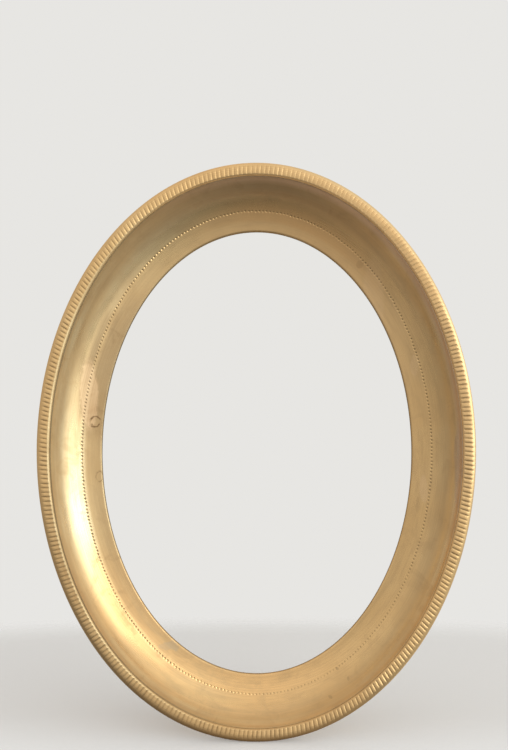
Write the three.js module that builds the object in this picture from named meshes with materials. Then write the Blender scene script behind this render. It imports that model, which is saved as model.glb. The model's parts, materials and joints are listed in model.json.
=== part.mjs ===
// Oval picture frame in gilt brass, in millimetres: upright, front towards -Y, long axis along Z.
// A pressed shell carries a reeded border wire in front. Behind it sit a collar for the glass,
// four turn clips on screwed pillars, and a strap with a hanging ring.
import * as THREE from 'three';

// Outline
const outerWidth = 167;
const outerHeight = 220;

// Reeded border wire, half-oval, on the ledge of the shell; its crown lies past the middle
const rimWidth = 4.8;
const rimHeight = 1.3;
const rimCrown = 2.7;
const reedPitch = 1.755;
const reedDepth = 0.3;

// Pressed shell: turned-back edge, ledge, cove and flange
const sheet = 0.8;
const rimOverhang = 0.4;
const edgeReturn = 4.7;
const ledgeShow = 0.2;
const coveWidth = 9;
const coveDepth = 10;
const coveAngle = THREE.MathUtils.degToRad(80);
const flangeAngle = THREE.MathUtils.degToRad(16);

// Rebate behind the flange: a lip with a level back and a thin edge, and a collar round it
const lipWidth = 2.5;
const sightEdge = 0.5;
const collarThickness = 0.8;
const collarHeight = 4.6;

// Turn clips, each on a pillar with a screw
const clipsAt = [45, 135, 225, 315];
const pillarDiameter = 3.2;
const pillarMargin = 0.5;
const pillarFloor = 1.2;
const clipThickness = 0.8;
const clipBorder = 0.4;
const clipReach = 12;
const clipNose = 3.4;
const screwDiameter = 1.6;
const screwHeadHeight = 0.8;
const screwHeadChamfer = 0.2;

// Hanger behind the top of the rim
const strapWidth = 7.6;
const strapThickness = 1;
const ringWire = 1.6;
const ringDrop = 8.4;
const ringCorner = 1;
const ringStandoff = 1.35;

// Clearances
const solderFilm = 0.15;
const clipLift = 0.2;
const turnGap = 0.2;
const pinPlay = 0.2;
const threadPlay = 0.15;
const ringPlay = 0.3;
const armPlay = 0.4;

// Fineness of the curved faces
const ovalSteps = 76;
const coveSteps = 8;
const roundSteps = 14;
const wireSteps = 8;

// Insets are measured from the outline towards the centre, depths from the crown of the rim.
const halfWidth = outerWidth / 2;
const halfHeight = outerHeight / 2;
const coveStart = rimWidth + ledgeShow;
const coveEnd = coveStart + coveWidth;
const pillarInset = coveEnd + pillarMargin + pillarDiameter / 2;
const collarOuter = pillarInset + pillarDiameter / 2 + pillarMargin;
const collarInner = collarOuter + collarThickness;
const sightInset = collarInner + lipWidth;

// The cove runs from its steep start to the slope of the flange, whose lip is level behind.
const coveRun = coveWidth / (Math.sin(coveAngle) - Math.sin(flangeAngle));
const coveRise = coveDepth / (Math.cos(flangeAngle) - Math.cos(coveAngle));
const flangeSlope = (coveRise * Math.tan(flangeAngle)) / coveRun;
const ledgeFront = rimHeight + solderFilm;
const ledgeBack = ledgeFront + sheet;
const coveFoot = ledgeFront + coveDepth;
const sightFront = coveFoot + flangeSlope * (sightInset - coveEnd);
const lipBack = sightFront + sightEdge;
const backSlope = (lipBack - coveFoot - sheet) / (collarInner - coveEnd);
const flangeBack = (inset) => lipBack - backSlope * (collarInner - inset);
const collarRear = lipBack + solderFilm + collarHeight;
const pillarFront = flangeBack(pillarInset + pillarDiameter / 2) + solderFilm;
const pillarRear = collarRear + clipLift;
const clipFront = pillarRear + turnGap;
const headFront = clipFront + clipThickness + turnGap;
const overallDepth = headFront + screwHeadHeight;

const brass = (colour, roughness) =>
  new THREE.MeshStandardMaterial({ color: colour, roughness, metalness: 1 });

// A point of the frame on the oval that lies one inset inside the outline.
function onOval(angle, inset, depth) {
  const x = (halfWidth - inset) * Math.cos(angle);
  const z = (halfHeight - inset) * Math.sin(angle);
  return new THREE.Vector3(x, depth, z);
}

// A closed solid from a closed row of equal closed sections.
function ringSolid(rows) {
  const across = rows[0].length;
  const index = [];
  rows.forEach((row, i) => {
    const next = ((i + 1) % rows.length) * across;
    for (let j = 0; j < across; j += 1) {
      const k = (j + 1) % across;
      index.push(i * across + j, next + j, next + k);
      index.push(i * across + j, next + k, i * across + k);
    }
  });
  const geometry = new THREE.BufferGeometry().setFromPoints(rows.flat());
  geometry.setIndex(index);
  geometry.computeVertexNormals();
  return geometry;
}

// A band of constant section round the oval; section points are [inset, depth].
function ovalBand(section) {
  const rows = [];
  for (let i = 0; i < ovalSteps; i += 1) {
    const angle = (2 * Math.PI * i) / ovalSteps;
    rows.push(section.map(([inset, depth]) => onOval(angle, inset, depth)));
  }
  return ringSolid(rows);
}

// Angles that part the outline into equal lengths.
function equalAngles(count) {
  const outline = new THREE.EllipseCurve(0, 0, halfWidth, halfHeight);
  outline.arcLengthDivisions = 1440;
  const angles = [];
  for (let i = 0; i < count; i += 1) {
    angles.push(2 * Math.PI * outline.getUtoTmapping(i / count));
  }
  return angles;
}

// Half-oval border wire: crests and valleys alternate across the crown, shoulders stay smooth.
function reededRim() {
  const outline = new THREE.EllipseCurve(0, 0, halfWidth, halfHeight);
  const reeds = Math.round(outline.getLength() / reedPitch);
  const crown = THREE.MathUtils.degToRad(70);
  const shoulder = THREE.MathUtils.degToRad(32);
  const height = rimHeight / Math.sin(crown);
  const arc = (angle) => {
    const reach = angle < Math.PI / 2 ? rimCrown : rimWidth - rimCrown;
    return [rimCrown - reach * Math.cos(angle), rimHeight - height * Math.sin(angle)];
  };
  const angles = [0, shoulder, crown, Math.PI - crown, Math.PI - shoulder, Math.PI];
  const rows = equalAngles(2 * reeds).map((angle, i) =>
    angles.map((at, j) => {
      const [inset, depth] = arc(at);
      const cut = i % 2 === 1 && (j === 2 || j === 3) ? reedDepth : 0;
      return onOval(angle, inset, depth + cut);
    }),
  );
  return ringSolid(rows);
}

// One point on the front of the cove and the matching one on its back, a sheet thickness away.
function covePoint(angle) {
  const inset = coveEnd - coveRun * (Math.sin(angle) - Math.sin(flangeAngle));
  const depth = coveFoot - coveRise * (Math.cos(flangeAngle) - Math.cos(angle));
  const tilt = Math.atan2(coveRise * Math.sin(angle), coveRun * Math.cos(angle));
  const back = [inset - sheet * Math.sin(tilt), depth + sheet * Math.cos(tilt)];
  return { front: [inset, depth], back };
}

function coveShell() {
  const front = [
    [rimOverhang, ledgeFront + edgeReturn],
    [rimOverhang, ledgeFront],
    [coveStart, ledgeFront],
  ];
  const back = [
    [rimOverhang + sheet, ledgeFront + edgeReturn],
    [rimOverhang + sheet, ledgeBack],
    [coveStart - sheet, ledgeBack],
  ];
  for (let i = coveSteps - 1; i >= 0; i -= 1) {
    const point = covePoint(THREE.MathUtils.lerp(flangeAngle, coveAngle, i / coveSteps));
    front.push(point.front);
    back.push(point.back);
  }
  front.push([sightInset, sightFront]);
  back.push([collarInner, lipBack], [sightInset, lipBack]);
  return ovalBand([...front, ...back.reverse()]);
}

function rebateCollar() {
  return ovalBand([
    [collarOuter, flangeBack(collarOuter) + solderFilm],
    [collarInner, lipBack + solderFilm],
    [collarInner, collarRear],
    [collarOuter, collarRear],
  ]);
}

// A turned piece about its own Y axis; profile points are [radius, depth].
function turned(profile) {
  const points = profile.map(([radius, depth]) => new THREE.Vector2(radius, depth));
  return new THREE.LatheGeometry(points, roundSteps);
}

function clipPillar() {
  const radius = pillarDiameter / 2;
  const bore = screwDiameter / 2 + threadPlay;
  return turned([
    [0, pillarFront],
    [radius, pillarFront],
    [radius, pillarRear],
    [bore, pillarRear],
    [bore, pillarFront + pillarFloor],
    [0, pillarFront + pillarFloor],
  ]);
}

function clipScrew() {
  const head = pillarDiameter / 2;
  const shank = screwDiameter / 2;
  const tip = pillarFront + pillarFloor + turnGap;
  return turned([
    [0, tip],
    [shank, tip],
    [shank, headFront],
    [head, headFront],
    [head, overallDepth - screwHeadChamfer],
    [head - screwHeadChamfer, overallDepth],
    [0, overallDepth],
  ]);
}

// Flat clip with a round hub about the screw and a narrower rounded nose along +X.
function turnClip() {
  const hub = pillarDiameter / 2 + clipBorder;
  const nose = clipNose / 2;
  const span = clipReach - nose;
  const lean = Math.acos((hub - nose) / span);
  const outline = new THREE.Shape();
  outline.absarc(0, 0, hub, lean, 2 * Math.PI - lean, false);
  outline.absarc(span, 0, nose, -lean, lean, false);
  const hole = new THREE.Path();
  hole.absarc(0, 0, screwDiameter / 2 + pinPlay, 0, 2 * Math.PI, true);
  outline.holes.push(hole);
  const geometry = new THREE.ExtrudeGeometry(outline, {
    depth: clipThickness,
    bevelEnabled: false,
    curveSegments: 10,
  });
  geometry.rotateX(-Math.PI / 2);
  geometry.translate(0, clipFront, 0);
  return geometry;
}

// Axis of the hanging ring, as depth and height.
const eyeBore = ringWire / 2 + ringPlay;
const eyeOuter = eyeBore + strapThickness;
const strapUnder = halfHeight - coveStart + sheet + solderFilm;
const eyeDepth = lipBack + ringStandoff + ringWire / 2;
const eyeHeight = strapUnder + strapThickness - eyeOuter;

// Strap on the shoulder of the cove, its free end rolled into an eye.
function hangerStrap() {
  const start = ledgeBack + solderFilm;
  const top = strapUnder + strapThickness;
  const rise = strapUnder - eyeHeight;
  const meets = Math.PI - Math.asin(rise / eyeOuter);
  const side = new THREE.Shape();
  side.moveTo(start, strapUnder);
  side.absarc(eyeDepth, eyeHeight, eyeOuter, meets, 2.5 * Math.PI, false);
  side.lineTo(start, top);
  const bore = new THREE.Path();
  bore.absarc(eyeDepth, eyeHeight, eyeBore, 0, 2 * Math.PI, true);
  side.holes.push(bore);
  const geometry = new THREE.ExtrudeGeometry(side, {
    depth: strapWidth,
    bevelEnabled: false,
    curveSegments: 16,
  });
  geometry.translate(0, 0, -strapWidth / 2);
  const across = new THREE.Vector3(1, 0, 0);
  const back = new THREE.Vector3(0, 1, 0);
  const up = new THREE.Vector3(0, 0, 1);
  geometry.applyMatrix4(new THREE.Matrix4().makeBasis(back, up, across));
  return geometry;
}

// D ring: a straight bar in the eye and a round bow hanging below it.
function hangerRing() {
  const half = strapWidth / 2 + armPlay + ringWire / 2;
  const bowAt = half - ringDrop;
  const loop = new THREE.Path();
  loop.moveTo(ringCorner - half, 0);
  loop.lineTo(half - ringCorner, 0);
  loop.absarc(half - ringCorner, -ringCorner, ringCorner, Math.PI / 2, 0, true);
  loop.absarc(0, bowAt, half, 0, -Math.PI, true);
  loop.absarc(ringCorner - half, -ringCorner, ringCorner, Math.PI, Math.PI / 2, true);
  const centres = loop.getPoints(5).slice(0, -1);
  const back = new THREE.Vector3(0, 1, 0);
  const rows = centres.map((at, i) => {
    const before = centres[(i + centres.length - 1) % centres.length];
    const after = centres[(i + 1) % centres.length];
    const out = new THREE.Vector3(before.y - after.y, 0, after.x - before.x).normalize();
    const centre = new THREE.Vector3(at.x, eyeDepth, at.y + eyeHeight);
    return Array.from({ length: wireSteps }, (_, j) => {
      const angle = (2 * Math.PI * j) / wireSteps;
      return centre
        .clone()
        .addScaledVector(back, (ringWire / 2) * Math.cos(angle))
        .addScaledVector(out, (-ringWire / 2) * Math.sin(angle));
    });
  });
  return ringSolid(rows);
}

const frame = new THREE.Group();
frame.name = 'oval_picture_frame';
frame.position.y = -overallDepth / 2;

function add(name, geometry, material) {
  const mesh = new THREE.Mesh(geometry, material);
  mesh.name = name;
  frame.add(mesh);
  return mesh;
}

add('cove_shell', coveShell(), brass('#b58c55', 0.3));
add('reeded_rim', reededRim(), brass('#b08550', 0.35));
add('rebate_collar', rebateCollar(), brass('#a88452', 0.4));

clipsAt.forEach((degrees, i) => {
  const angle = THREE.MathUtils.degToRad(degrees);
  const pivot = onOval(angle, pillarInset, 0);
  const towardsSide = -Math.sign(Math.sin(2 * angle));
  const alongX = -towardsSide * (halfWidth - pillarInset) * Math.sin(angle);
  const alongZ = towardsSide * (halfHeight - pillarInset) * Math.cos(angle);
  const pieces = [
    add(`clip_pillar_${i + 1}`, clipPillar(), brass('#a8824e', 0.4)),
    add(`turn_clip_${i + 1}`, turnClip(), brass('#b1905c', 0.42)),
    add(`clip_screw_${i + 1}`, clipScrew(), brass('#a07d4a', 0.38)),
  ];
  pieces.forEach((piece) => piece.position.copy(pivot));
  pieces[1].rotation.y = Math.atan2(-alongZ, alongX);
});

add('hanger_strap', hangerStrap(), brass('#a98350', 0.42));
add('hanger_ring', hangerRing(), brass('#b08a54', 0.35));

export default frame;
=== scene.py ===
"""Oval gilt brass picture frame: fine relief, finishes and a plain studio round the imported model.

Section points are (inset, depth) in millimetres: the inset from the outline towards the centre, the
depth from the crown of the rim towards the wall. Points of a finished mesh are in metres.
Directions round the oval are in degrees, from the right going up. A pair of degrees is a direction
and a reach to either side of it.
"""

import json
import math

import bpy
import bmesh
import numpy as np
from mathutils import Matrix, Vector


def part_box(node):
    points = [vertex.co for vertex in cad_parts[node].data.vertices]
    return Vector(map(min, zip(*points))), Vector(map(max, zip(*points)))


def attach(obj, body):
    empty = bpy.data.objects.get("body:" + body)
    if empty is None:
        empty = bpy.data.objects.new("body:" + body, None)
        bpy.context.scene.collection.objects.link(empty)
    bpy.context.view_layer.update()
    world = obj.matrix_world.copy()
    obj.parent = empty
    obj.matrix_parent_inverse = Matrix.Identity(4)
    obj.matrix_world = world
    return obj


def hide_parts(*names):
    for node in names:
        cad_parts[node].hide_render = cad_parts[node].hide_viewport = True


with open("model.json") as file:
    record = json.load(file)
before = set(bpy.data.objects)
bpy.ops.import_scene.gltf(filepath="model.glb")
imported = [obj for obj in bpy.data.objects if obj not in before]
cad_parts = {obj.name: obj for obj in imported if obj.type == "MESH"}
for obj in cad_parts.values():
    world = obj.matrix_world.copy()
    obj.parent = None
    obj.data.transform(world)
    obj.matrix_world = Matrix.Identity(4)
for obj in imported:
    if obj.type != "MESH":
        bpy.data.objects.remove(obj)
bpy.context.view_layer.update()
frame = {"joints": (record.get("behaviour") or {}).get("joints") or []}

MM = 0.001

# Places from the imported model, in millimetres
RIM_LOW, RIM_HIGH = (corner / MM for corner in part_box("reeded_rim"))
SHELL_LOW, SHELL_HIGH = (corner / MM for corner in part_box("cove_shell"))
COLLAR_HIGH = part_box("rebate_collar")[1] / MM
STRAP_LOW, STRAP_HIGH = (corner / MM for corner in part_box("hanger_strap"))
RING_LOW, RING_HIGH = (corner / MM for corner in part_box("hanger_ring"))
JOINT_AT = {joint["name"]: Vector(joint["pos_m"]) / MM for joint in frame["joints"]}
CROWN_Y = RIM_LOW.y
HALF_WIDTH = RIM_HIGH.x
HALF_HEIGHT = RIM_HIGH.z
RIM_HEIGHT = RIM_HIGH.y - RIM_LOW.y
OVERHANG = HALF_WIDTH - SHELL_HIGH.x
LEDGE_FRONT = SHELL_LOW.y - CROWN_Y
LIP_BACK = SHELL_HIGH.y - CROWN_Y
COLLAR_OUTER = HALF_WIDTH - COLLAR_HIGH.x
COLLAR_REAR = COLLAR_HIGH.y - CROWN_Y

# Border wire
RIM_WIDTH = 4.8
RIM_SHOULDER = 1.6
RIM_FILLET = 0.65
RIM_DROP = 0.42
FILLET_START = 12
SHOULDER_STEPS = 7
FACE_STEPS = 9
FILLET_STEPS = 7

# Its reeds, in millimetres across the wire and in shares of a reed along it
REED_COUNT = 348
REED_STEPS = 12
REED_DEPTH = 0.26
REED_SHARP = 0.8
REED_SOFT = 0.2
REED_SHARPNESS = 5
REED_START = 1.1
REED_RAGGED = 0.25
REED_RISE = 1.2
REED_END = 4.75
REED_SHORT = 0.7
SHORT_REEDS = (162, 38)
REED_FALL = 0.7
REED_SLANT = 0.1
REED_SHIFT = 0.03
REED_WEAR = (0.6, 1.0)
TOP_WEAR = 0.55
WORN_REEDS = (90, 65)
REED_GRIME = 0.42
# The grooves are darkened less at the top of the oval: a share, then a direction and a reach
TOP_GROOVE_LIFT = 0.34
LIFTED_GROOVES = (90, 70)
# Painted shade at the foot of the wire, where it meets the ledge, up to this height
FOOT_SHADE = 0.25
FOOT_HEIGHT = 0.3

# Tones by place, painted light and shade for the one key light: a direction and a reach round the oval,
# then places across and weights there. The darker tones are painted shade, one of them also rougher;
# the paler, warmer and hazy ones are painted highlight.
# On the rim the places are insets. On the shell they are depths: 0 at the ledge, 1 at the foot of the
# cove, where the dots are, and past 1 on the flange.
RIM_TONES = {
    # On the wire: painted shade on its lower part at the bottom of the oval and on its inner face to
    # the lower left; painted highlight over the upper right and on the inner fillet at the left
    "recess": [(250, 65, (1.0, 2.0, 3.0), (0.85, 0.45, 0.05))],
    "dull_and_shade": [(262, 45, (0, 4.8), (0.2, 0.2)), (205, 28, (2.6, 3.2, 3.9, 4.3), (0, 0.35, 0.35, 0.2))],
    "umber_painted_shade": [(268, 38, (0.4, 3.0), (0.8, 0.1))],
    "amber_painted_light": [(45, 80, (0.8, 1.8), (0.6, 1.1))],
    "pale_painted_light": [(185, 75, (3.9, 4.3), (0, 1)), (40, 60, (0, 4.8), (1, 1))],
}
# On the shell: painted shade and highlight round the cove and the flange, which shape the key light's
# reflection
SHELL_TONES = {
    "dull_and_shade": [
        (68, 65, (0.98, 1.03), (0, 0.38)),
        (195, 75, (1.02, 1.06), (0, 0.5)),
        (242, 28, (0.78, 0.9, 0.97, 1.0), (0, 0.4, 0.4, 0)),
        (342, 28, (0.3, 0.7, 0.85, 0.95), (0, 0.3, 0.3, 0)),
        (152, 28, (0.82, 0.92), (0, 0.5)),
        (158, 14, (0.78, 0.88, 0.98, 1.01), (0, 0.36, 0.36, 0)),
        (218, 48, (0.03, 0.2, 0.34), (0.4, 0.35, 0)),
        (283, 20, (0.1, 0.3), (0, 0.12)),
    ],
    "pale_painted_light": [
        (165, 55, (0.1, 0.6), (1, 0)),
        (185, 70, (1.195, 1.215), (0, 1)),
        (187, 30, (0.35, 0.5, 0.76, 0.86, 1.03, 1.06), (0, 1.1, 1.1, 1, 1, 0)),
        (138, 30, (0.55, 0.75, 0.97, 1.0), (0, 0.5, 0.5, 0)),
    ],
    "amber_painted_light": [
        (254, 52, (0.35, 0.6, 0.98, 1.03), (0, 1, 1, 1.35)),
        (240, 30, (0.2, 0.4, 0.75, 0.8), (0, 0.9, 0.9, 0)),
        (222, 22, (0.7, 0.85, 1.0, 1.03), (0, 0.9, 0.9, 0.6)),
        (48, 30, (0.2, 0.4, 0.8, 1.0), (0, 0.8, 0.8, 0.3)),
    ],
    "umber_painted_shade": [
        (78, 40, (0.45, 0.65, 0.8, 0.95, 1.1, 1.14), (0, 0.25, 0.3, 0.6, 0.6, 0.2)),
        (222, 24, (0.75, 0.86, 0.97, 1.0), (0, 0.75, 0.75, 0)),
        (228, 22, (1.03, 1.06, 1.12, 1.14), (0, 0.35, 0.35, 0)),
    ],
    "haze_painted_light": [(48, 75, (0.15, 0.35), (0.8, 0))],
}

# The cove also gets painted shade near the wire all round, most at the top of the oval, down to where
# this fades; there it is rougher too
ROUND_SHADE = 0.18
TOP_SHADE = 0.97
TOP_POWER = 4.5
SHADE_FADE = (0.66, 0.82)

# Pressed shell
SHEET = 0.8
EDGE_RETURN = 4.7
EDGE_ROUND = 0.2
LEDGE_SHOW = 0.2
LEDGE_BEND = 0.5
LEDGE_ROUND = 0.15
BACK_BEND = 0.3
COVE_WIDTH = 9.0
COVE_DEPTH = 10.0
COVE_ANGLE = math.radians(80)
FOOT_ANGLE = math.radians(23)
COLLAR_THICKNESS = 0.8
LIP_WIDTH = 2.5
SIGHT_EDGE = 0.5
SIGHT_ROUND = 0.5
SIGHT_BEVEL = 0.35
COVE_STEPS = 26
BACK_STEPS = 16
FLANGE_STEPS = 13
# Painted shade in the joint between the wire and the shell, most to the left
JOINT_SHADE = 0.15
LEFT_JOINT_SHADE = 0.75
SHADED_JOINT = (190, 80)
# Painted shade on the sheet's edge round the sight and in the corner behind the ledge
SIGHT_SHADE = 1.0
CORNER_SHADE = 0.5

# Punched dots where the cove meets the flange
DOT_COUNT = 369
DOT_RADIUS = 0.42
DOT_DEPTH = 0.17
DOT_FLANK = 1.5
DOT_STEPS = 8
DOT_MARGIN = 0.55
DOT_ROWS = 11
DOT_SHIFT = 0.05
DOT_PUNCH = (0.6, 1.1)
PUNCH_LOSS = 0.5
FAINT_DOTS = (305, 50)
DOT_GRIME = 0.65
RIGHT_DOT_GRIME = 0.35
GRIMY_DOTS = (20, 110)
COARSER = 4

COVE_START = RIM_WIDTH + LEDGE_SHOW
COVE_END = COVE_START + COVE_WIDTH
COLLAR_INNER = COLLAR_OUTER + COLLAR_THICKNESS
SIGHT = COLLAR_INNER + LIP_WIDTH
COVE_RUN = COVE_WIDTH / (math.sin(COVE_ANGLE) - math.sin(FOOT_ANGLE))
COVE_RISE = COVE_DEPTH / (math.cos(FOOT_ANGLE) - math.cos(COVE_ANGLE))
COVE_FOOT = LEDGE_FRONT + COVE_DEPTH
FLANGE_RUN = SIGHT - COVE_END
FOOT_SLOPE = COVE_RISE * math.tan(FOOT_ANGLE) / COVE_RUN
SIGHT_SLOPE = 2 * (LIP_BACK - SIGHT_EDGE - COVE_FOOT) / FLANGE_RUN - FOOT_SLOPE
SKIRT_REAR = LEDGE_FRONT + EDGE_RETURN
BACK_SLOPE = (LIP_BACK - COVE_FOOT - SHEET) / (COLLAR_INNER - COVE_END)

# Collar, clips, their screws and the hanger
COLLAR_STEPS = 240
COLLAR_FILLET = 0.5
COLLAR_EDGE = 0.15
CLIP_COUNT = 4
PILLAR_DIAMETER = 3.2
PILLAR_EDGE = 0.15
TURNED_STEPS = 32
CLIP_BORDER = 0.4
CLIP_REACH = 12
CLIP_NOSE = 3.4
CLIP_HOLE = 2.0
CLIP_BEVEL = 0.14
HUB_STEPS = 40
NOSE_STEPS = 24
SCREW_HEAD = 0.8
SCREW_SHANK = 0.8
SCREW_EDGE = 0.2
SCREW_SHARP = 30
SLOT_WIDTH = 0.5
SLOT_DEPTH = 0.42
SLOT_TURNS = (20, 75, 140, 50)
STRAP_THICKNESS = 1.0
STRAP_EDGE = 0.22
STRAP_STEPS = 12
EYE_TURN = (90, -215)
EYE_STEPS = 40
RING_WIRE = 1.6
RING_CORNER = 1.0
RING_STEPS = 18

random = np.random.default_rng(11)


# Meshes

def on_oval(angles, inset, depth):
    """Points on the oval one inset inside the outline, in metres; inset and depth may vary along it."""
    x = (HALF_WIDTH - inset) * np.cos(angles)
    z = (HALF_HEIGHT - inset) * np.sin(angles)
    y = np.broadcast_to(CROWN_Y + depth, x.shape)
    return np.stack([x, y, z], axis=1) * MM


def equal_angles(count, inset):
    """Angles that part the oval at this inset into equal lengths, from the right going up."""
    samples = 20001
    fine = np.linspace(0, 2 * np.pi, samples)
    speed = np.hypot((HALF_WIDTH - inset) * np.sin(fine), (HALF_HEIGHT - inset) * np.cos(fine))
    length = np.concatenate([[0], np.cumsum((speed[1:] + speed[:-1]) / 2)])
    return np.interp(np.arange(count) / count * length[-1], length, fine)


def step_length(angles, inset):
    """Mean distance from one angle's point to the next on the oval at this inset, in millimetres."""
    steps = np.diff(on_oval(angles, inset, 0), axis=0)
    return np.linalg.norm(steps, axis=1).mean() / MM


def bridge(start, count, other, others):
    """Faces between two closed loops, where one count is a multiple of the other."""
    if count >= others:
        step = count // others
        for j in range(others):
            side = [start + (step * j + i) % count for i in range(step + 1)]
            yield side + [other + (j + 1) % others, other + j]
    else:
        for face in bridge(other, others, start, count):
            yield face[::-1]


def loop_faces(loops, closed):
    """Faces of a row of closed loops: the row closes on itself, or a cap closes each end."""
    sizes = [len(loop) for loop in loops]
    starts = np.concatenate([[0], np.cumsum(sizes)[:-1]]).tolist()
    faces = []
    for i in range(len(loops) if closed else len(loops) - 1):
        k = (i + 1) % len(loops)
        faces.extend(bridge(starts[i], sizes[i], starts[k], sizes[k]))
    if not closed:
        faces.append(list(range(sizes[0])))
        faces.append(list(range(starts[-1], starts[-1] + sizes[-1])))
    return faces


def finish_mesh(mesh, sharp):
    """Faces outwards, smooth, with creases where they turn by more than the sharp angle."""
    work = bmesh.new()
    work.from_mesh(mesh)
    bmesh.ops.recalc_face_normals(work, faces=work.faces)
    work.to_mesh(mesh)
    work.free()
    mesh.polygons.foreach_set("use_smooth", [True] * len(mesh.polygons))
    mesh.set_sharp_from_angle(angle=math.radians(sharp))


def make_piece(name, loops, material, body, node, slot, closed=True, sharp=40, **attributes):
    """A piece from closed loops of points, which rides on a body and may stand for a node."""
    mesh = bpy.data.meshes.new(name)
    points = np.concatenate([np.asarray(loop) for loop in loops])
    mesh.from_pydata(points.tolist(), [], loop_faces(loops, closed))
    for attribute, values in attributes.items():
        mesh.attributes.new(attribute, "FLOAT", "POINT").data.foreach_set("value", values)
    finish_mesh(mesh, sharp)
    mesh.materials.append(material)
    piece = bpy.data.objects.new(name, mesh)
    bpy.context.scene.collection.objects.link(piece)
    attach(piece, body)
    if node:
        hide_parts(node)
    return piece


def arc(across, along, radius, start, end, steps):
    """Points on an arc about a centre in a plane, from one angle in degrees to another.

    In a section, 0 degrees points inwards and 90 towards the wall.
    """
    turns = np.radians(np.linspace(start, end, steps))
    return [(across + radius * math.cos(t), along + radius * math.sin(t)) for t in turns]


# Tones along a loop

def near(angles, degrees, reach):
    """Weight along the oval: 1 at one direction, falling smoothly to 0 at a reach, both in degrees."""
    off = (np.degrees(angles) - degrees + 180) % 360 - 180
    return np.clip(1 - (off / reach) ** 2, 0, 1)


def tones_at(table, angles, across):
    """Weight of each tone along one loop, at its place across the section."""
    weights = {}
    for tone, patches in table.items():
        weights[tone] = sum(near(angles, way, reach) * np.interp(across, places, levels)
                            for way, reach, places, levels in patches)
    return weights


def add_tones(tones, weights):
    """Adds one loop's weights to the list of each tone."""
    for tone, weight in weights.items():
        tones.setdefault(tone, []).append(weight)


def joined(tones):
    """Each tone's weights for all the points of a piece."""
    return {tone: np.concatenate(weights) for tone, weights in tones.items()}


# Front pieces

def rim_section():
    """Inset and height across the border wire: broad shoulder, face that bows inwards, small fillet."""
    inner = RIM_HEIGHT - RIM_DROP
    face = RIM_WIDTH - RIM_SHOULDER - RIM_FILLET
    first = math.radians(FILLET_START)
    points = []
    for turn in np.radians(np.linspace(0, 90, SHOULDER_STEPS)):
        points.append((RIM_SHOULDER * (1 - math.cos(turn)), RIM_HEIGHT * math.sin(turn)))
    for share in np.linspace(0, 1, FACE_STEPS)[1:]:
        drop = RIM_DROP * share ** 2 * (3 - share) / 2
        points.append((RIM_SHOULDER + face * share, RIM_HEIGHT - drop))
    for turn in np.radians(np.linspace(FILLET_START, 90, FILLET_STEPS))[1:]:
        back = (1 - math.sin(turn)) / (1 - math.sin(first))
        points.append((RIM_WIDTH - RIM_FILLET * back, inner * math.cos(turn) / math.cos(first)))
    return points


def reeded_rim(material):
    """Border wire with slightly slanting cross reeds that run out on its shoulder and its fillet."""
    stations = REED_COUNT * REED_STEPS
    angles = equal_angles(stations, RIM_WIDTH / 2)
    slant = REED_SLANT / step_length(angles, RIM_WIDTH / 2) / REED_STEPS
    phase = np.arange(stations) / REED_STEPS
    wear = random.uniform(*REED_WEAR, REED_COUNT)
    wear *= 1 - TOP_WEAR * near(angles[::REED_STEPS], *WORN_REEDS)
    shift = random.normal(0, REED_SHIFT, REED_COUNT)
    start = REED_START + random.uniform(-REED_RAGGED, REED_RAGGED, REED_COUNT)
    end = REED_END - REED_SHORT * near(angles, *SHORT_REEDS)
    grime = REED_GRIME - TOP_GROOVE_LIFT * near(angles, *LIFTED_GROOVES)
    loops = []
    tones = {}
    for inset, height in rim_section():
        place = phase - slant * (inset - RIM_WIDTH / 2)
        nearest = np.round(place)
        reed = nearest.astype(int) % REED_COUNT
        wave = 0.5 + 0.5 * np.cos(2 * np.pi * (place - nearest - shift[reed]))
        run = np.minimum((inset - start[reed]) / REED_RISE, (end - inset) / REED_FALL)
        cut = REED_SHARP * wave ** REED_SHARPNESS + REED_SOFT * wave
        groove = cut * wear[reed] * np.clip(run, 0, 1)
        loops.append(on_oval(angles, inset, RIM_HEIGHT - height + REED_DEPTH * groove))
        # Dark in the grooves, and painted shade at the foot of the wire
        foot = max(0.0, 1 - height / FOOT_HEIGHT)
        weights = tones_at(RIM_TONES, angles, inset)
        weights["recess"] = np.clip(weights["recess"] + grime * groove + FOOT_SHADE * foot, 0, 1)
        add_tones(tones, weights)
    make_piece("rim_reeds", loops, material, "frame", "reeded_rim", "gilt_rim", **joined(tones))


def cove_point(angle):
    """Front and back of the cove's sheet where its curve has this angle."""
    inset = COVE_END - COVE_RUN * (math.sin(angle) - math.sin(FOOT_ANGLE))
    depth = COVE_FOOT - COVE_RISE * (math.cos(FOOT_ANGLE) - math.cos(angle))
    tilt = math.atan2(COVE_RISE * math.sin(angle), COVE_RUN * math.cos(angle))
    return (inset, depth), (inset - SHEET * math.sin(tilt), depth + SHEET * math.cos(tilt))


def front_depth(inset):
    """Depth of the shell's front at an inset in the cove's foot or the flange."""
    if inset >= COVE_END:
        run = inset - COVE_END
        return COVE_FOOT + run * (FOOT_SLOPE + (SIGHT_SLOPE - FOOT_SLOPE) / 2 * run / FLANGE_RUN)
    sine = math.sin(FOOT_ANGLE) + (COVE_END - inset) / COVE_RUN
    return COVE_FOOT - COVE_RISE * (math.cos(FOOT_ANGLE) - math.sqrt(1 - sine * sine))


def back_depth(inset):
    """Depth of the flange's back, which ends in the level lip."""
    return LIP_BACK - BACK_SLOPE * max(0.0, COLLAR_INNER - inset)


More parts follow.
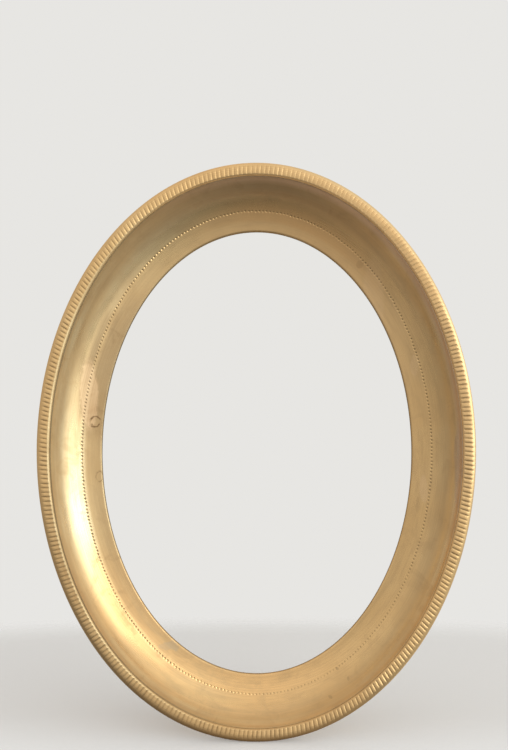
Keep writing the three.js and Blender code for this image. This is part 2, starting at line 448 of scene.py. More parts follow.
def shell_front():
    """Section of the front, from the turned-back edge to a little above the dots."""
    above_dots = 0.1
    points = arc(OVERHANG + EDGE_ROUND, SKIRT_REAR - EDGE_ROUND, EDGE_ROUND, 90, 180, 4)
    points += arc(OVERHANG + LEDGE_BEND, LEDGE_FRONT + LEDGE_BEND, LEDGE_BEND, 180, 270, 5)
    points += arc(COVE_START - LEDGE_ROUND, LEDGE_FRONT + LEDGE_ROUND, LEDGE_ROUND, 270, 350, 4)
    for angle in np.linspace(COVE_ANGLE, FOOT_ANGLE, COVE_STEPS)[1:]:
        point = cove_point(angle)[0]
        if point[0] < COVE_END - DOT_MARGIN - above_dots:
            points.append(point)
    return points


def shell_flange():
    """Section of the flange from a little below the dots, round the sight's edge to the level lip."""
    below_dots = 0.25
    round_share = 0.75
    round_start, round_end = 285, 318
    edge_in, edge_up = 0.02, 0.1
    first = COVE_END + DOT_MARGIN + below_dots
    last = SIGHT - SIGHT_BEVEL - SIGHT_ROUND * round_share
    slope = math.degrees(math.atan(SIGHT_SLOPE))
    points = [(inset, front_depth(inset)) for inset in np.linspace(first, last, FLANGE_STEPS)]
    centre = points[-1][1] + SIGHT_ROUND / math.cos(math.radians(slope))
    points += arc(last, centre, SIGHT_ROUND, round_start + slope, round_end, 4)
    points += [(SIGHT - edge_in, LIP_BACK - edge_up), (SIGHT, LIP_BACK), (COLLAR_INNER, LIP_BACK)]
    return points


def shell_back():
    """Section of the rear, from the foot of the cove back to the turned edge."""
    corner = 0.08
    ledge_back = LEDGE_FRONT + SHEET
    points = []
    for angle in np.linspace(FOOT_ANGLE, COVE_ANGLE, BACK_STEPS):
        point = cove_point(angle)[1]
        if point[1] > ledge_back + BACK_BEND:
            points.append(point)
    points.append((COVE_START - SHEET + corner, ledge_back + corner))
    points.append((COVE_START - SHEET, ledge_back))
    points += arc(OVERHANG + SHEET + BACK_BEND, ledge_back + BACK_BEND, BACK_BEND, 270, 180, 4)
    points += arc(OVERHANG + SHEET - EDGE_ROUND, SKIRT_REAR - EDGE_ROUND, EDGE_ROUND, 0, 90, 4)
    return points


def dot_places(angles):
    """For each station along the dots: how far its dot's centre is, both ways, and the dot's depth."""
    spacing = step_length(angles, COVE_END)
    along = (np.arange(len(angles)) % DOT_STEPS - DOT_STEPS / 2) * spacing
    along += np.repeat(random.normal(0, DOT_SHIFT, DOT_COUNT), DOT_STEPS)
    aside = np.repeat(random.normal(0, DOT_SHIFT, DOT_COUNT), DOT_STEPS)
    punch = random.uniform(*DOT_PUNCH, DOT_COUNT)
    punch *= 1 - PUNCH_LOSS * near(angles[DOT_STEPS // 2::DOT_STEPS], *FAINT_DOTS)
    return along, aside, np.repeat(punch, DOT_STEPS)


def shell_weights(angles, depth, front):
    """Painted light and shade along one loop of the shell; on its rear only the painted shade of the
    cove.
    """
    level = np.broadcast_to((depth - LEDGE_FRONT) / COVE_DEPTH, angles.shape)
    weights = {tone: front * weight for tone, weight in tones_at(SHELL_TONES, angles, level).items()}
    # Painted shade near the wire, all round and most at the top of the oval
    high = ROUND_SHADE + TOP_SHADE * np.clip(np.sin(angles), 0, 1) ** TOP_POWER
    weights["dull_and_shade"] = weights["dull_and_shade"] + high * np.interp(level, SHADE_FADE, (1, 0))
    return weights


def inner_shade(inset, depth, front):
    """Painted shade on the sheet's edge round the sight and in the corner behind the ledge."""
    edge_width = 0.05
    if inset > SIGHT - edge_width:
        return SIGHT_SHADE
    corner = front == 0 and depth < SKIRT_REAR - 3 * EDGE_ROUND and inset < COVE_START
    return CORNER_SHADE if corner else 0.0


def cove_shell(material):
    """Shell with a line of punched dots: dense loops across the dots, coarser ones elsewhere."""
    dense = equal_angles(DOT_COUNT * DOT_STEPS, COVE_END)
    coarse = dense[::COARSER]
    along, aside, punch = dot_places(dense)
    dot_grime = DOT_GRIME + RIGHT_DOT_GRIME * near(dense, *GRIMY_DOTS)
    joint_shade = JOINT_SHADE + LEFT_JOINT_SHADE * near(coarse, *SHADED_JOINT)
    loops = []
    tones = {}

    def add_loop(angles, inset, depth, recess, front):
        """Adds one loop of points with its tones."""
        loops.append(on_oval(angles, inset, depth))
        add_tones(tones, {"recess": np.broadcast_to(recess, angles.shape)})
        add_tones(tones, {"front": np.full(len(angles), front)})
        add_tones(tones, shell_weights(angles, depth, front))

    for inset, depth in shell_front():
        add_loop(coarse, inset, depth, joint_shade if inset < COVE_START else 0.0, 1.0)
    for inset in np.linspace(COVE_END - DOT_MARGIN, COVE_END + DOT_MARGIN, DOT_ROWS):
        reach = np.hypot(along, inset - COVE_END - aside) / DOT_RADIUS
        dent = np.clip(1 - reach ** 2, 0, 1) ** DOT_FLANK * punch
        depth = front_depth(inset) + DOT_DEPTH * dent
        add_loop(dense, inset, depth, np.clip(dent, 0, 1) * dot_grime, 1.0)
    front = 1.0
    for inset, depth in shell_flange() + shell_back():
        front = 0.0 if depth >= LIP_BACK else front
        add_loop(coarse, inset, depth, inner_shade(inset, depth, front), front)
    make_piece("shell_sheet", loops, material, "frame", "cove_shell", "gilt_shell", sharp=50,
               **joined(tones))


# Back pieces

def collar(material):
    """Strip on edge, soldered to the flange, with a rounded rear edge."""
    fillet = COLLAR_FILLET
    toe_in, toe_up = 0.3 * fillet, 0.2 * fillet
    edge = COLLAR_EDGE
    stations = equal_angles(COLLAR_STEPS, COLLAR_OUTER)
    section = [(COLLAR_OUTER - fillet, back_depth(COLLAR_OUTER - fillet))]
    section.append((COLLAR_OUTER - toe_in, back_depth(COLLAR_OUTER) + toe_up))
    section.append((COLLAR_OUTER, back_depth(COLLAR_OUTER) + fillet))
    section += arc(COLLAR_OUTER + edge, COLLAR_REAR - edge, edge, 180, 90, 4)
    section += arc(COLLAR_INNER - edge, COLLAR_REAR - edge, edge, 90, 0, 4)
    section.append((COLLAR_INNER, LIP_BACK))
    # Darker at the strip's foot on the flange and at its inner edge by the lip
    recess = [1.0] * 2 + [0.3] + [0.0] * 8 + [0.8]
    loops = [on_oval(stations, inset, depth) for inset, depth in section]
    make_piece("collar_strip", loops, material, "frame", "rebate_collar", "back_brass",
               recess=np.repeat(recess, len(stations)))


def turned_loops(profile, at):
    """Loops of a piece turned about the Y axis through a point; profile points are (radius, y)."""
    turns = np.arange(TURNED_STEPS) * 2 * np.pi / TURNED_STEPS
    loops = []
    for radius, y in profile:
        x = at.x + radius * np.cos(turns)
        z = at.z + radius * np.sin(turns)
        loops.append(np.stack([x, np.full(TURNED_STEPS, y), z], axis=1) * MM)
    return loops


def inset_at(x, z):
    """How far inside the outline the oval through a point lies, by halving the range."""
    low, high = 0.0, 30.0
    halvings = 40
    for _ in range(halvings):
        middle = (low + high) / 2
        inside = (x / (HALF_WIDTH - middle)) ** 2 + (z / (HALF_HEIGHT - middle)) ** 2 < 1
        low, high = (middle, high) if inside else (low, middle)
    return low


def pillar(number, material):
    """Turned pillar with a solder fillet that follows the sloping back of the flange."""
    at = JOINT_AT[f"clip_turn_{number}"]
    node = f"clip_pillar_{number}"
    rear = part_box(node)[1].y / MM
    radius = PILLAR_DIAMETER / 2
    fillet = [(radius + 0.55, 0.0), (radius + 0.2, 0.12), (radius + 0.04, 0.4), (radius, 0.8)]
    loops = turned_loops(fillet + [(radius, rear - PILLAR_EDGE), (radius - PILLAR_EDGE, rear)], at)
    for loop, (_, lift) in zip(loops, fillet):
        for point in loop:
            point[1] = (CROWN_Y + back_depth(inset_at(point[0] / MM, point[2] / MM)) + lift) * MM
    # Darker at the pillar's foot on the flange
    recess = np.repeat([1.0, 0.8, 0.4, 0.1, 0.0, 0.0], TURNED_STEPS)
    make_piece(f"pillar_{number}", loops, material, "frame", node, "back_brass", closed=False,
               recess=recess)


def screw(number, material):
    """Cheese-head screw with a slot."""
    at = JOINT_AT[f"clip_turn_{number}"]
    node = f"clip_screw_{number}"
    tip, rear = (corner.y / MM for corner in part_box(node))
    head = PILLAR_DIAMETER / 2
    shank = SCREW_SHANK
    edge = SCREW_EDGE
    under_edge = 0.05
    eased = 0.06
    under = rear - SCREW_HEAD
    profile = [(shank - edge, tip), (shank, tip + edge), (shank, under), (head - under_edge, under)]
    profile += [(head, under + under_edge), (head, rear - edge), (head - eased, rear - eased)]
    profile.append((head - edge, rear))
    piece = make_piece(f"screw_{number}", turned_loops(profile, at), material, "frame", node,
                       "screw_brass", closed=False, sharp=SCREW_SHARP)
    cut_slot(piece, at, rear, SLOT_TURNS[number - 1])


def cut_slot(piece, at, rear, degrees):
    """Cuts a straight slot across the rear face of a screw head."""
    overrun = 1.5
    size = Vector((PILLAR_DIAMETER * overrun, 2 * SLOT_DEPTH, SLOT_WIDTH)) * MM
    turn = Matrix.Rotation(math.radians(degrees), 3, "Y")
    work = bmesh.new()
    bmesh.ops.create_cube(work, size=1.0)
    bmesh.ops.scale(work, vec=size, verts=work.verts)
    bmesh.ops.rotate(work, cent=(0, 0, 0), verts=work.verts, matrix=turn)
    bmesh.ops.translate(work, vec=Vector((at.x, rear, at.z)) * MM, verts=work.verts)
    mesh = bpy.data.meshes.new("slot")
    work.to_mesh(mesh)
    work.free()
    cutter = bpy.data.objects.new("slot", mesh)
    bpy.context.scene.collection.objects.link(cutter)
    cut = piece.modifiers.new("slot", "BOOLEAN")
    cut.object = cutter
    cut.operation = "DIFFERENCE"
    cut.solver = "EXACT"
    bpy.context.view_layer.update()
    evaluated = piece.evaluated_get(bpy.context.evaluated_depsgraph_get())
    result = bpy.data.meshes.new_from_object(evaluated)
    piece.modifiers.clear()
    piece.data = result
    finish_mesh(result, SCREW_SHARP)
    bpy.data.objects.remove(cutter)


def clip(number, material):
    """Flat clip with softened edges: a hub about the screw and a narrower rounded nose."""
    at = JOINT_AT[f"clip_turn_{number}"]
    node = f"turn_clip_{number}"
    front, rear = (corner.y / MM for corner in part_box(node))
    along = Vector((at.x, 0, -at.z)).normalized()
    aside = Vector((-along.z, 0, along.x))
    hub = PILLAR_DIAMETER / 2 + CLIP_BORDER
    nose = CLIP_NOSE / 2
    far = CLIP_REACH - nose
    lean = math.acos((hub - nose) / far)
    round_hub = np.linspace(lean, 2 * math.pi - lean, HUB_STEPS)
    turns = np.concatenate([round_hub, np.linspace(-lean, lean, NOSE_STEPS)])
    centres = np.repeat([0.0, far], [HUB_STEPS, NOSE_STEPS])
    radii = np.repeat([hub, nose], [HUB_STEPS, NOSE_STEPS])

    def level(a, b, y):
        """Points at distances along and beside the clip, all at one depth."""
        points = np.outer(a, along) + np.outer(b, aside) + np.array([at.x, 0, at.z])
        points[:, 1] = y
        return points * MM

    def outline(shrink, y):
        """The outer edge, drawn in a little."""
        return level(centres + (radii - shrink) * np.cos(turns), (radii - shrink) * np.sin(turns), y)

    def hole(radius, y):
        """The hole, with a point for each of the outer edge's."""
        way = np.arctan2(radii * np.sin(turns), centres + radii * np.cos(turns))
        return level(radius * np.cos(way), radius * np.sin(way), y)

    bore = CLIP_HOLE / 2
    bevel = CLIP_BEVEL
    eased = 0.3 * bevel
    loops = [outline(bevel, front), outline(eased, front + eased), outline(0, front + bevel)]
    loops += [outline(0, rear - bevel), outline(eased, rear - eased), outline(bevel, rear)]
    loops += [hole(bore + bevel, rear), hole(bore, rear - bevel), hole(bore, front + bevel)]
    loops.append(hole(bore + bevel, front))
    make_piece(f"clip_{number}", loops, material, f"clip_{number}", node, "clip_brass", sharp=30)


def strap_path():
    """Middle line of the strap as (y, z): straight along the shoulder, then rolled into an eye."""
    eye = JOINT_AT["ring_swing"]
    top = STRAP_HIGH.z - STRAP_THICKNESS / 2
    points = [(y, top) for y in np.linspace(STRAP_LOW.y, eye.y, STRAP_STEPS)]
    return np.array(points + arc(eye.y, eye.z, top - eye.z, *EYE_TURN, EYE_STEPS)[1:])


def strap(material):
    """Flat strap with rounded edges, its end rolled into an open eye."""
    path = strap_path()
    run = np.gradient(path, axis=0)
    run /= np.linalg.norm(run, axis=1)[:, None]
    across = np.stack([-run[:, 1], run[:, 0]], axis=1)
    half_width = STRAP_HIGH.x - STRAP_EDGE
    half = STRAP_THICKNESS / 2 - STRAP_EDGE
    corners = []
    for side, up, start in ((1, 1, 0), (-1, 1, 90), (-1, -1, 180), (1, -1, 270)):
        corners += arc(side * half_width, up * half, STRAP_EDGE, start, start + 90, 4)
    loops = []
    for (y, z), (ay, az) in zip(path, across):
        loops.append([Vector((x, y + ay * t, z + az * t)) * MM for x, t in corners])
    make_piece("strap", loops, material, "frame", "hanger_strap", "clip_brass", closed=False, sharp=35)


def hanger_solder(material):
    """Solder that fills the wedge between the strap and the back of the cove, less at its ends."""
    upper, lower, rows = 76, 62, 8
    bite = 0.08
    margin = 0.2
    columns = 17
    end_loss, end_power = 0.45, 4
    hollow, rise_power = 0.5, 1.6
    grime = 0.3
    top = STRAP_HIGH.z - STRAP_THICKNESS + bite
    half_width = STRAP_HIGH.x - margin
    back = [cove_point(angle)[1] for angle in np.radians(np.linspace(upper, lower, rows))]
    insets, depths = np.array(back).T
    loops = []
    for x in np.linspace(-half_width, half_width, columns):
        heights = (HALF_HEIGHT - insets) * np.sqrt(1 - (x / (HALF_WIDTH - insets)) ** 2)
        fill = 1 - end_loss * (x / half_width) ** end_power
        filled = depths[0] + (depths - depths[0]) * fill
        section = list(zip(filled, np.interp(filled, depths, heights) - bite))
        y, z = section[-1]
        for t in (0.35, 0.7, 1.0):
            section.append((y - hollow * t * (2 - t), z + (top - z) * t ** rise_power))
        section.append((filled[0], top))
        loops.append([Vector((x, CROWN_Y + y, z)) * MM for y, z in section])
    make_piece("hanger_solder", loops, material, "frame", None, "back_brass", closed=False, sharp=50,
               recess=np.full(sum(len(loop) for loop in loops), grime))


def ring(material):
    """D ring of round wire: a straight bar in the eye, two small corners and a round bow."""
    eye = JOINT_AT["ring_swing"]
    wire = RING_WIRE / 2
    half = RING_HIGH.x - wire
    bow = RING_LOW.z + wire - eye.z + half
    corner = RING_CORNER
    bar_steps, corner_steps, bow_steps = 12, 10, 44
    line = [(x, 0.0) for x in np.linspace(corner - half, half - corner, bar_steps)]
    line += arc(half - corner, -corner, corner, 90, 0, corner_steps)[1:]
    line += arc(0, bow, half, 0, -180, bow_steps)
    line += arc(corner - half, -corner, corner, 180, 90, corner_steps)[:-1]
    line = np.array(line)
    run = np.roll(line, -1, axis=0) - np.roll(line, 1, axis=0)
    run /= np.linalg.norm(run, axis=1)[:, None]
    turns = np.arange(RING_STEPS) * 2 * np.pi / RING_STEPS
    out = wire * np.cos(turns)
    y = eye.y + wire * np.sin(turns)
    loops = []
    for (x, z), (rx, rz) in zip(line, run):
        loops.append(np.stack([x - rz * out, y, z + eye.z + rx * out], axis=1) * MM)
    make_piece("ring", loops, material, "ring", "hanger_ring", "screw_brass", sharp=60)


# Shader nodes

def add(tree, kind, inputs=None, **settings):
    """A shader node with its settings, its plain input values and its links."""
    made = tree.nodes.new("ShaderNode" + kind)
    for key, value in settings.items():
        setattr(made, key, value)
    for key, value in (inputs or {}).items():
        if isinstance(value, bpy.types.NodeSocket):
            tree.links.new(value, made.inputs[key])
        else:
            made.inputs[key].default_value = value
    return made


def noise(tree, at, scale, detail=4.0, rough=0.55, distortion=0.0):
    """Noise at a place, with a scale per metre."""
    inputs = {"Vector": at, "Scale": scale, "Detail": detail, "Roughness": rough,
              "Distortion": distortion}
    return add(tree, "TexNoise", inputs).outputs["Fac"]


def span(tree, value, low, high, start=0.0, end=1.0, course="SMOOTHSTEP"):
    """The value's place between low and high, as a smooth or a straight step from start to end."""
    inputs = {"Value": value, "From Min": low, "From Max": high, "To Min": start, "To Max": end}
    return add(tree, "MapRange", inputs, interpolation_type=course).outputs["Result"]


def maths(tree, operation, first, second, third=0.0):
    """The result of an operation on two or three values."""
    return add(tree, "Math", {0: first, 1: second, 2: third}, operation=operation).outputs[0]


def times(tree, value, factor):
    """One value times another."""
    return maths(tree, "MULTIPLY", value, factor)


def vector(tree, operation, *values):
    """The vector from an operation on one or more vectors."""
    return add(tree, "VectorMath", dict(enumerate(values)), operation=operation).outputs[0]


def vector_length(tree, value):
    """The length of a vector."""
    return add(tree, "VectorMath", {0: value}, operation="LENGTH").outputs["Value"]


def mix(tree, factor, first, second, blend="MIX"):
    """Two colours mixed; 6, 7 and 2 are the Mix node's colour sockets."""
    inputs = {"Factor": factor, 6: first, 7: second}
    return add(tree, "Mix", inputs, data_type="RGBA", blend_type=blend).outputs[2]


def carried(tree, name):
    """A tone's weight, which the mesh carries at its points."""
    return add(tree, "Attribute", attribute_name=name).outputs["Fac"]


def colour(red, green, blue):
    """An opaque colour."""
    return (red, green, blue, 1.0)


# Materials

GOLD = colour(0.825, 0.565, 0.262)
BRIGHT = colour(0.87, 0.592, 0.275)
WARM = colour(0.76, 0.495, 0.215)
PINK = colour(0.92, 0.65, 0.37)
STAIN = colour(0.60, 0.455, 0.275)
TARNISH = colour(0.64, 0.43, 0.205)
DULL_SHADE_TONE = colour(0.47, 0.34, 0.19)
BROWN = colour(0.52, 0.35, 0.17)
RUST = colour(0.28, 0.165, 0.075)
DARK = colour(0.10, 0.062, 0.03)
PALE = colour(0.82, 0.68, 0.40)
AMBER = colour(0.95, 0.60, 0.26)
MAUVE = colour(0.54, 0.39, 0.27)
UMBER = colour(0.66, 0.39, 0.16)
HAZE = colour(0.84, 0.62, 0.43)

# Patterns in the brass: scales per metre, and the part of each noise that shows
PATCH_SCALE = 30
PATCH_SPAN = (0.38, 0.64)
STAIN_SCALE = 130
STAIN_SPAN = (0.52, 0.68)
GRAIN_SCALE = 1500
STREAK_LINES = 330.0
STREAK_WANDER = 2.0
WANDER_SCALE = 40
STREAK_SPAN = (0.48, 0.68)
BAND_LINES = 45.0
BAND_TURNS = 8
BAND_SPAN = (0.40, 0.72)

# How strongly each shows in the tone, the roughness and the relief
# The tint and haze shares weigh painted highlight; the share below the tint weighs painted shade
TINT_SHARE = 0.65
BAND_EXTRA = 0.1
DULL_AND_SHADE_SHARE = 0.8
STREAK_SHARE = 0.24
HAZE_SHARE = 0.8
PATCH_GLOSS = (-0.04, 0.05)
STAIN_GLOSS = 0.08
DULL_GLOSS = 0.4
STREAK_GLOSS = 0.03
STREAK_GLOSS_SPAN = (0.3, 0.7)
STREAK_RELIEF = 0.3
GRAIN_RELIEF = 0.08
RELIEF_STRENGTH = 0.2
RELIEF_DEPTH = 0.03

# Marks on the front: centre and radii in millimetres, shade, strength, raggedness and, for a ring,
# its inner radius as a share
SHELL_MARKS = [
    ((-66.6, 23), (3.6, 14), PINK, 0.65, 0.8),
    ((46.6, 61), (4.5, 15), PINK, 0.2, 0.8),
    ((66.4, -14.7), (1.5, 6), PINK, 0.3, 1.2),
    ((62.9, 35), (1.7, 4.5), PINK, 0.2, 1.2),
    ((64.2, -21), (0.8, 4), BROWN, 0.3, 1.0),
    ((-35.4, -77.3), (4.5, 1.8), STAIN, 0.6, 2.0),
    ((-66.6, 23), (3.6, 14), BROWN, 0.8, 0.8, 0.95),
    # Painted shade: a mauve band down the right of the cove, next to the wire
    ((78.2, -12), (1.7, 24), MAUVE, 0.5, 0.9),
    ((41, 75), (1.5, 1.5), BROWN, 0.75),
    ((-64.6, 12.4), (2.0, 2.7), RUST, 1.0, 1.4, 0.8),
    ((-63.1, -9.4), (1.5, 2.4), RUST, 0.6, 0.8, 0.8),
    ((31.9, -85.7), (0.6, 0.6), BROWN, 0.7),
    ((28.7, -95.1), (0.8, 0.5), BROWN, 0.6),
    ((35.9, -88.6), (0.5, 0.7), BROWN, 0.5),
]
MARK_EDGE = (0.8, 1.1)
MARK_GRAIN = 1.6
RING_FADE = 0.15
RING_BREAKS = 420
RING_BREAK_SPAN = (0.38, 0.54)
SOLDER_MARK = (BROWN, 0.75, 1.2)
STRAP_SOLDER = ((0, 103), (6.5, 4.5))
PILLAR_SOLDER = (3.6, 3.6)


def solder_marks():
    """Brown marks on the back, where the strap and the pillars are soldered on."""
    marks = [STRAP_SOLDER + SOLDER_MARK]
    for number in range(1, CLIP_COUNT + 1):
        at = JOINT_AT[f"clip_turn_{number}"]
        marks.append(((at.x, at.z), PILLAR_SOLDER) + SOLDER_MARK)
    return marks


def spot(tree, at, centre, radii, ragged):
    """How far a point lies from a centre in the plane of the oval, in radii, with a ragged edge."""
    place = vector(tree, "SUBTRACT", at, (centre[0] * MM, 0, centre[1] * MM))
    per_radius = (1 / radii[0] / MM, 0, 1 / radii[1] / MM)
    far = vector_length(tree, vector(tree, "MULTIPLY", place, per_radius))
    grain = MARK_GRAIN / (radii[0] + radii[1]) / MM
    return maths(tree, "MULTIPLY_ADD", noise(tree, at, grain, detail=3), ragged, far)


def mark(tree, tone, at, face, centre, radii, shade, strength, ragged=0.3, hollow=0.0):
    """A tone with a spot of another shade on one face of the sheet; hollow is a ring's inner radius."""
    far = maths(tree, "SUBTRACT", spot(tree, at, centre, radii, ragged), ragged / 2)
    inside = times(tree, span(tree, far, *MARK_EDGE, strength, 0.0), face)
    if hollow:
        inside = times(tree, inside, span(tree, far, hollow - RING_FADE, hollow))
        breaks = noise(tree, at, RING_BREAKS, detail=2)
        inside = times(tree, inside, span(tree, breaks, *RING_BREAK_SPAN))
    return mix(tree, inside, tone, shade)


def brushed(tree, at):
    """Fine streaks and broad bands round the oval, as the brass was brushed."""
    per_oval = (1 / HALF_WIDTH / MM, 0, 1 / HALF_HEIGHT / MM)
    oval = vector(tree, "MULTIPLY", at, per_oval)
    radius = vector_length(tree, oval)
    wander = times(tree, noise(tree, at, WANDER_SCALE, detail=2), STREAK_WANDER)
    line = maths(tree, "MULTIPLY_ADD", radius, STREAK_LINES, wander)
    lines = {"W": line, "Scale": 1.0, "Detail": 5.0}
    streak = add(tree, "TexNoise", lines, noise_dimensions="1D").outputs["Fac"]
    way = vector(tree, "NORMALIZE", oval)
    across = add(tree, "CombineXYZ", {"Y": times(tree, radius, BAND_LINES)}).outputs[0]
    drawn = vector(tree, "MULTIPLY_ADD", way, (BAND_TURNS,) * 3, across)
    bands = span(tree, noise(tree, drawn, 1.0, detail=5), *BAND_SPAN)
    return streak, bands


def brass(name, clean, toned, rough, darkening, patchy=0.4, stained=0.2, marks=(), rear_marks=()):
    """Worn gilt brass: patches, stains, brushed streaks round the oval, painted light and shade by
    place and dark recesses, which are partly painted shade.
    """
    material = bpy.data.materials.new(name)
    material.use_nodes = True
    tree = material.node_tree
    shader = tree.nodes["Principled BSDF"]
    shader.inputs["Metallic"].default_value = 1.0
    at = add(tree, "TexCoord").outputs["Object"]
    patches = span(tree, noise(tree, at, PATCH_SCALE), *PATCH_SPAN)
    blots = noise(tree, at, STAIN_SCALE, detail=6, rough=0.65, distortion=0.8)
    stains = span(tree, blots, *STAIN_SPAN)
    streak, bands = brushed(tree, at)
    dull_and_shade = carried(tree, "dull_and_shade")
    front = carried(tree, "front")
    rear = maths(tree, "SUBTRACT", 1.0, front)

    tone = mix(tree, times(tree, patches, patchy), clean, toned)
    # Painted highlight: paler and warmer where the mesh carries these weights
    tone = mix(tree, times(tree, carried(tree, "pale_painted_light"), TINT_SHARE), tone, PALE)
    tone = mix(tree, times(tree, carried(tree, "amber_painted_light"), TINT_SHARE), tone, AMBER)
    tone = mix(tree, times(tree, bands, stained + BAND_EXTRA), tone, TARNISH)
    tone = mix(tree, times(tree, stains, stained), tone, TARNISH)
    # Painted shade, with rougher brass, where the mesh carries this weight
    tone = mix(tree, times(tree, dull_and_shade, DULL_AND_SHADE_SHARE), tone, DULL_SHADE_TONE)
    for one in marks:
        tone = mark(tree, tone, at, front, *one)
    for one in rear_marks:
        tone = mark(tree, tone, at, rear, *one)
    tone = mix(tree, span(tree, streak, *STREAK_SPAN, 0.0, STREAK_SHARE), tone, BROWN)
    # Painted shade, then a hazy painted highlight, then dark recesses that are partly painted shade
    tone = mix(tree, carried(tree, "umber_painted_shade"), tone, UMBER)
    tone = mix(tree, times(tree, carried(tree, "haze_painted_light"), HAZE_SHARE), tone, HAZE)
    tone = mix(tree, times(tree, carried(tree, "recess"), darkening), tone, DARK)
    tree.links.new(tone, shader.inputs["Base Color"])

    smoother, rougher = (rough + change for change in PATCH_GLOSS)
    gloss = span(tree, patches, 0.0, 1.0, smoother, rougher)
    gloss = maths(tree, "ADD", gloss, times(tree, stains, STAIN_GLOSS))
    gloss = maths(tree, "ADD", gloss, times(tree, dull_and_shade, DULL_GLOSS))
    brushing = span(tree, streak, *STREAK_GLOSS_SPAN, -STREAK_GLOSS, STREAK_GLOSS)
    tree.links.new(maths(tree, "ADD", gloss, brushing), shader.inputs["Roughness"])

    grain = times(tree, noise(tree, at, GRAIN_SCALE, detail=2, rough=0.5), GRAIN_RELIEF)
    relief = maths(tree, "ADD", times(tree, streak, STREAK_RELIEF), grain)
    height = {"Strength": RELIEF_STRENGTH, "Distance": RELIEF_DEPTH * MM, "Height": relief}
    bump = add(tree, "Bump", height)
    tree.links.new(bump.outputs["Normal"], shader.inputs["Normal"])
    return material


# Studio

# Light in front of the frame, by height from -1 to 1: straight ahead and towards the sides
AHEAD_LIGHT = [
    (-1, 0.13), (-0.93, 0.18), (-0.77, 0.225), (-0.5, 0.3), (-0.33, 0.36), (-0.1, 0.5), (0, 0.6),
    (0.2, 0.95), (1, 0.82),
]
SIDE_LIGHT = [(-1, 0.3), (-0.5, 0.5), (-0.22, 0.58), (0, 0.62), (0.2, 0.95), (1, 0.82)]
SIDE_SPAN = (0.3, 0.85)

# Its change from left to right: place from -1 to 1, level, and green and blue against red
ACROSS_LIGHT = [
    (-1, 0.62, 0.97, 0.96), (-0.25, 0.95, 0.96, 0.94), (0, 1.0, 0.94, 0.9), (0.3, 1.0, 1.04, 1.08),
    (0.85, 1.0, 1.04, 1.08), (1, 1.14, 1.04, 1.08),
]
WALL = colour(0.80, 0.79, 0.765)
WALL_SPAN = (0.5, 0.74)
FLOOR = colour(0.80, 0.785, 0.75)


def key_light():
    """One large soft light like a window at the right of the camera, a little above the middle."""
    azimuth, elevation = math.radians(47.5), math.radians(11)
    width, height, distance = 1.52, 0.55, 1.5
    radiance = 2.8
    tint = (0.97, 1.0, 1.0)
    level = math.cos(elevation)
    towards = Vector((math.sin(azimuth) * level, -math.cos(azimuth) * level, math.sin(elevation)))
    light = bpy.data.lights.new("key", "AREA")
    light.shape = "RECTANGLE"
    light.size = width
    light.size_y = height
    light.energy = math.pi * width * height * radiance
    light.color = tint
    lamp = bpy.data.objects.new("key", light)
    lamp.location = towards * distance
    lamp.rotation_euler = towards.to_track_quat("Z", "Y").to_euler()
    bpy.context.scene.collection.objects.link(lamp)


def ramp(tree, value, stops):
    """A ramp over [-1, 1] with stops of a place, a level and a tint in green and blue."""
    made = add(tree, "ValToRGB", {"Fac": span(tree, value, -1, 1, course="LINEAR")})
    bar = made.color_ramp.elements
    while len(bar) < len(stops):
        bar.new(0.5)
    for element, (at, level, green, blue) in zip(bar, stops):
        element.position = (at + 1) / 2
        element.color = colour(level, level * green, level * blue)
    return made.outputs["Color"]


def room():
    """A pale room: a light wall behind the frame; in front a bright ceiling and a dim floor."""
    world = bpy.data.worlds.new("room")
    world.use_nodes = True
    bpy.context.scene.world = world
    tree = world.node_tree
    way = add(tree, "TexCoord").outputs["Generated"]
    parts = add(tree, "SeparateXYZ", {0: way}).outputs
    ahead = ramp(tree, parts["Z"], [(at, level, 1, 1) for at, level in AHEAD_LIGHT])
    sides = ramp(tree, parts["Z"], [(at, level, 1, 1) for at, level in SIDE_LIGHT])
    aside = span(tree, maths(tree, "ABSOLUTE", parts["X"], 0.0), *SIDE_SPAN)
    front = mix(tree, aside, ahead, sides)
    front = mix(tree, 1.0, front, ramp(tree, parts["X"], ACROSS_LIGHT), "MULTIPLY")
    light = mix(tree, span(tree, parts["Y"], *WALL_SPAN), front, WALL)
    tree.links.new(light, tree.nodes["Background"].inputs["Color"])


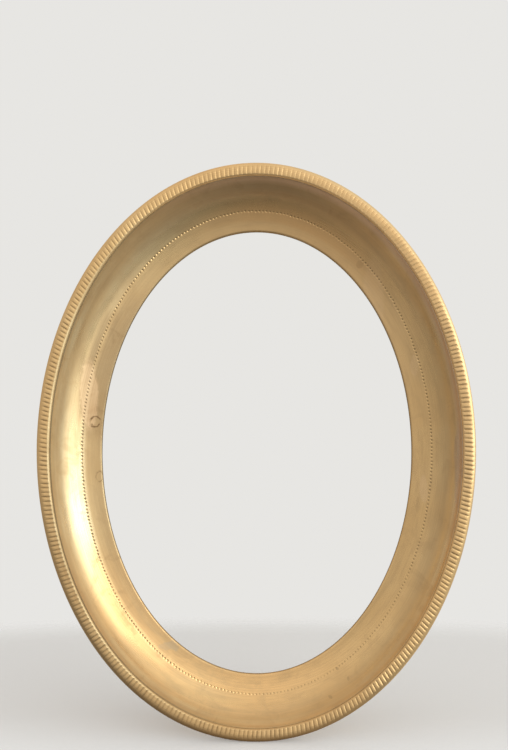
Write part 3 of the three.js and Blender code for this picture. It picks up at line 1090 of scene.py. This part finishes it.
def floor():
    """A pale floor that fades out a little way from the frame, mostly behind it."""
    wide, deep = 340, 110
    middle = 70
    below = 0.1
    fade = (0.55, 1.0)
    edge_points = 64
    turns = np.linspace(0, 2 * np.pi, edge_points, endpoint=False)
    points = [(wide * math.cos(turn) * MM, deep * math.sin(turn) * MM, 0) for turn in turns]
    mesh = bpy.data.meshes.new("floor")
    mesh.from_pydata(points, [], [list(range(len(points)))])
    ground = bpy.data.objects.new("floor", mesh)
    ground.location = (0, middle * MM, (RIM_LOW.z - below) * MM)
    bpy.context.scene.collection.objects.link(ground)
    material = bpy.data.materials.new("floor")
    material.use_nodes = True
    tree = material.node_tree
    shader = tree.nodes["Principled BSDF"]
    shader.inputs["Base Color"].default_value = FLOOR
    shader.inputs["Roughness"].default_value = 0.8
    at = add(tree, "TexCoord").outputs["Object"]
    share = vector(tree, "MULTIPLY", at, (1 / wide / MM, 1 / deep / MM, 0))
    tree.links.new(span(tree, vector_length(tree, share), *fade, 1.0, 0.0), shader.inputs["Alpha"])
    mesh.materials.append(material)


def camera():
    """The photograph's view: near the frame's axis, close, with the picture's middle above the axis."""
    width_px, height_px = 508, 750
    focal_px = 600
    frame_px = (256.3, 452.2)
    distance = 226.9
    aside, above = 4.0, -4.0
    axis_px = (frame_px[0] + focal_px * aside / distance, frame_px[1] - focal_px * above / distance)
    data = bpy.data.cameras.new("camera")
    data.sensor_width = 36
    data.lens = data.sensor_width * focal_px / height_px
    data.shift_x = (width_px / 2 - axis_px[0]) / height_px
    data.shift_y = (axis_px[1] - height_px / 2) / height_px
    data.clip_start = 0.01
    eye = bpy.data.objects.new("camera", data)
    eye.location = Vector((aside, CROWN_Y - distance, above)) * MM
    eye.rotation_euler = (math.pi / 2, 0, 0)
    bpy.context.scene.collection.objects.link(eye)
    bpy.context.scene.camera = eye


rim_brass = brass("rim brass", BRIGHT, WARM, rough=0.44, darkening=0.75)
shell_brass = brass("shell brass", GOLD, WARM, rough=0.25, darkening=0.75, patchy=0.55, stained=0.4,
                    marks=SHELL_MARKS, rear_marks=solder_marks())
back_brass = brass("back brass", WARM, BROWN, rough=0.42, darkening=0.6, patchy=0.8)
clip_brass = brass("clip brass", WARM, BROWN, rough=0.3, darkening=0.6, patchy=0.9)
screw_brass = brass("screw brass", GOLD, BROWN, rough=0.26, darkening=0.7, patchy=0.5)

reeded_rim(rim_brass)
cove_shell(shell_brass)
collar(back_brass)
for count in range(1, CLIP_COUNT + 1):
    pillar(count, back_brass)
    screw(count, screw_brass)
    clip(count, clip_brass)
strap(clip_brass)
hanger_solder(back_brass)
ring(screw_brass)

camera()
key_light()
room()
floor()
bpy.context.scene.view_settings.view_transform = "Standard"
